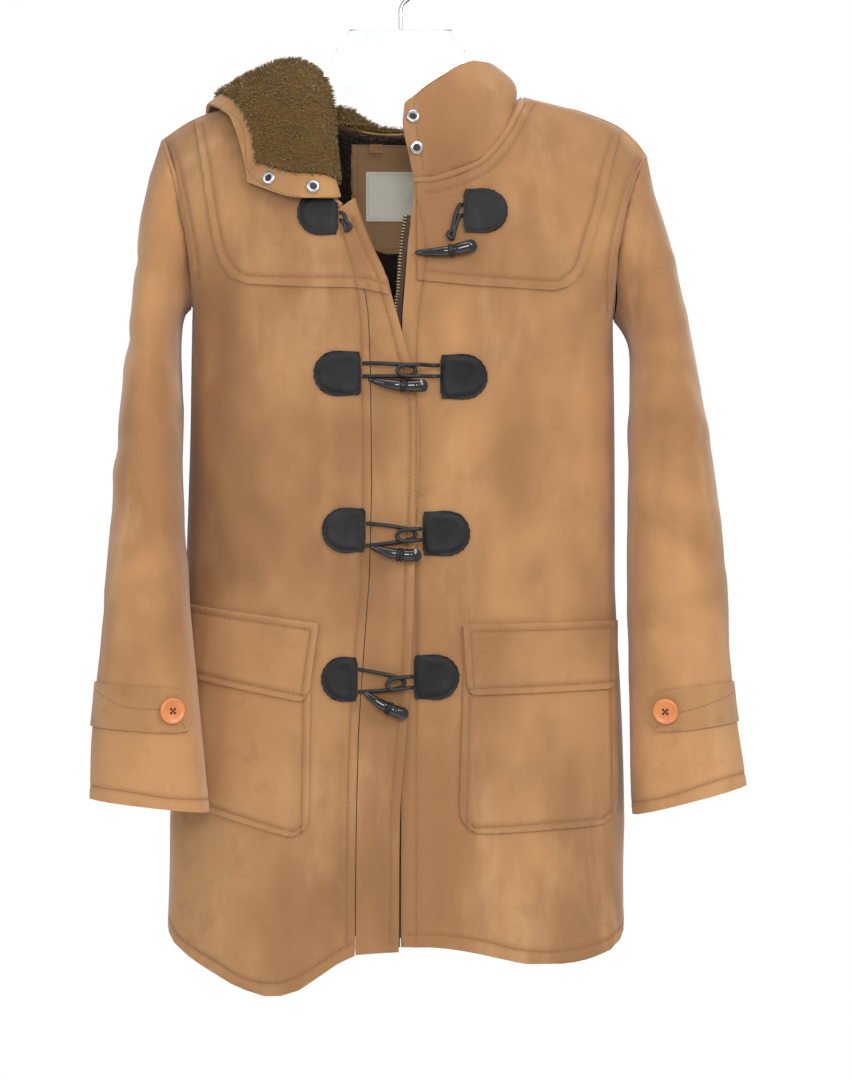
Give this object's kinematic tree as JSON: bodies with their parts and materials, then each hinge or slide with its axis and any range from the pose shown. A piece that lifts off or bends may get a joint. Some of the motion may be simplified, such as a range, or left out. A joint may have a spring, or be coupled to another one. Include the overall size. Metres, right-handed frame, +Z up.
{
  "type": "hooded suede coat on a clear hanger with a wire hook",
  "caption": "Long hooded suede coat with fur lining, toggle front, zip, flap pockets and sleeve tabs, hanging open-necked on a clear hanger with a wire hook.",
  "frame": {"origin": "the point inside the top of the steel hook where a rail bears", "axes": "+Z up, -Y out of the coat's front, +X towards the wearer's left sleeve; metres"},
  "size_m": [0.607, 0.2915, 0.9738],
  "materials": {
    "suede": "suede nap",
    "suede_trim": "suede nap",
    "suede_facing": "suede nap",
    "fur_olive": "deep pile",
    "fur_brown": "deep pile",
    "leather_black": "satin",
    "horn_black": "gloss",
    "cord_black": "braided",
    "button_tan": "satin",
    "snap_metal": "polished",
    "label_cream": "woven",
    "zip_bronze": "tape with metal teeth",
    "hanger_clear": "clear",
    "hook_steel": "bright wire"
  },
  "bodies": {
    "root": {"back": "suede", "front_l": "suede", "front_r": "suede", "placket": "suede", "yoke_r": "suede", "yoke_l": "suede", "pocket_r": "suede", "pocket_l": "suede", "pocket_flap_r": "suede", "pocket_flap_l": "suede", "sleeve_top_r": "suede", "sleeve_top_l": "suede", "sleeve_under_r": "suede", "sleeve_under_l": "suede", "sleeve_tab_r": "suede", "sleeve_tab_l": "suede", "hood_r": "suede", "hood_l": "suede", "hood_trim_r": "suede_trim", "hood_trim_l": "suede_trim", "hanger_loop": "suede_trim", "back_facing": "suede_facing", "hood_fur_r": "fur_olive", "hood_fur_l": "fur_olive", "back_fur": "fur_brown", "patch_1_r": "leather_black", "cord_1_r": "cord_black", "patch_1_l": "leather_black", "cord_1_l": "cord_black", "toggle_1": "horn_black", "patch_2_r": "leather_black", "cord_2_r": "cord_black", "patch_2_l": "leather_black", "cord_2_l": "cord_black", "toggle_2": "horn_black", "patch_3_r": "leather_black", "cord_3_r": "cord_black", "patch_3_l": "leather_black", "cord_3_l": "cord_black", "toggle_3": "horn_black", "patch_4_r": "leather_black", "cord_4_r": "cord_black", "patch_4_l": "leather_black", "cord_4_l": "cord_black", "toggle_4": "horn_black", "button_r": "button_tan", "snap_r_1": "snap_metal", "snap_r_2": "snap_metal", "button_l": "button_tan", "snap_l_1": "snap_metal", "snap_l_2": "snap_metal", "label": "label_cream", "zip": "zip_bronze", "hanger": "hanger_clear", "hanger_hook": "hook_steel"}
  },
  "joints": []
}
